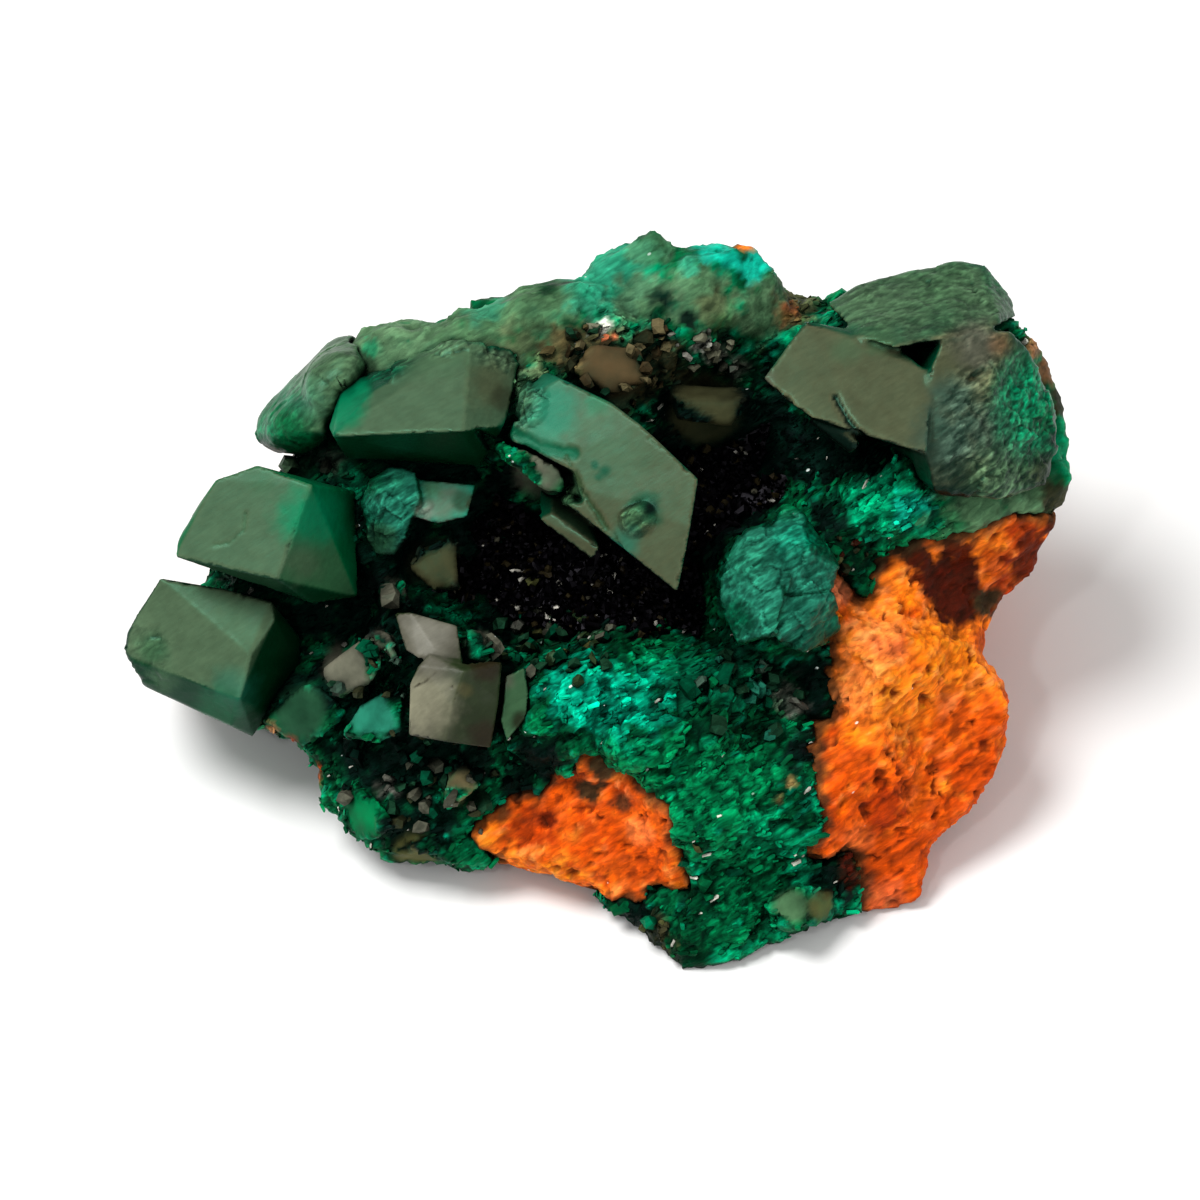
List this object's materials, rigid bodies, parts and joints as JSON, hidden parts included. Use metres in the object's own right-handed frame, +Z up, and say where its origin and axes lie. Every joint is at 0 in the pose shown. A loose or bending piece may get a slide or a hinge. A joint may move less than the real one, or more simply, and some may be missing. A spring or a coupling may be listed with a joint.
{
  "type": "dioptase crystal specimen on matrix",
  "caption": "Dark green dioptase crystals and granular green crust round a druse-lined hollow, on a lump of orange iron-stained rock; a display specimen that rests on its flat underside.",
  "frame": {"origin": "centre of the bounding box's bottom, on the surface that the specimen rests on", "axes": "+X along the specimen's longest side, to the right when the crystal side faces the viewer; +Y away from the crystal side; +Z up"},
  "size_m": [0.0598, 0.0462, 0.0282],
  "materials": {
    "orange_rock": "rough, porous, iron-stained rock",
    "granular_green": "granular, sparkling, half-dull green crust",
    "green_crystal": "glassy to satin crystal faces with growth steps",
    "teal_crystal": "uneven, half-glossy teal crystal",
    "pale_crystal": "greyish, half-glossy crystal faces",
    "dark_druse": "glassy, nearly black crystal points"
  },
  "bodies": {
    "root": {"rock_matrix": "orange_rock", "dioptase_crust": "granular_green", "hollow_druse": "dark_druse", "roof_crystal": "green_crystal", "left_lobe_crystal": "green_crystal", "left_upper_crystal": "green_crystal", "left_lower_crystal": "green_crystal", "blade_crystal": "green_crystal", "right_crystals": "green_crystal", "centre_crystal": "teal_crystal", "hollow_crystals": "teal_crystal", "pale_crystals": "pale_crystal", "slim_crystal": "green_crystal"}
  },
  "joints": []
}
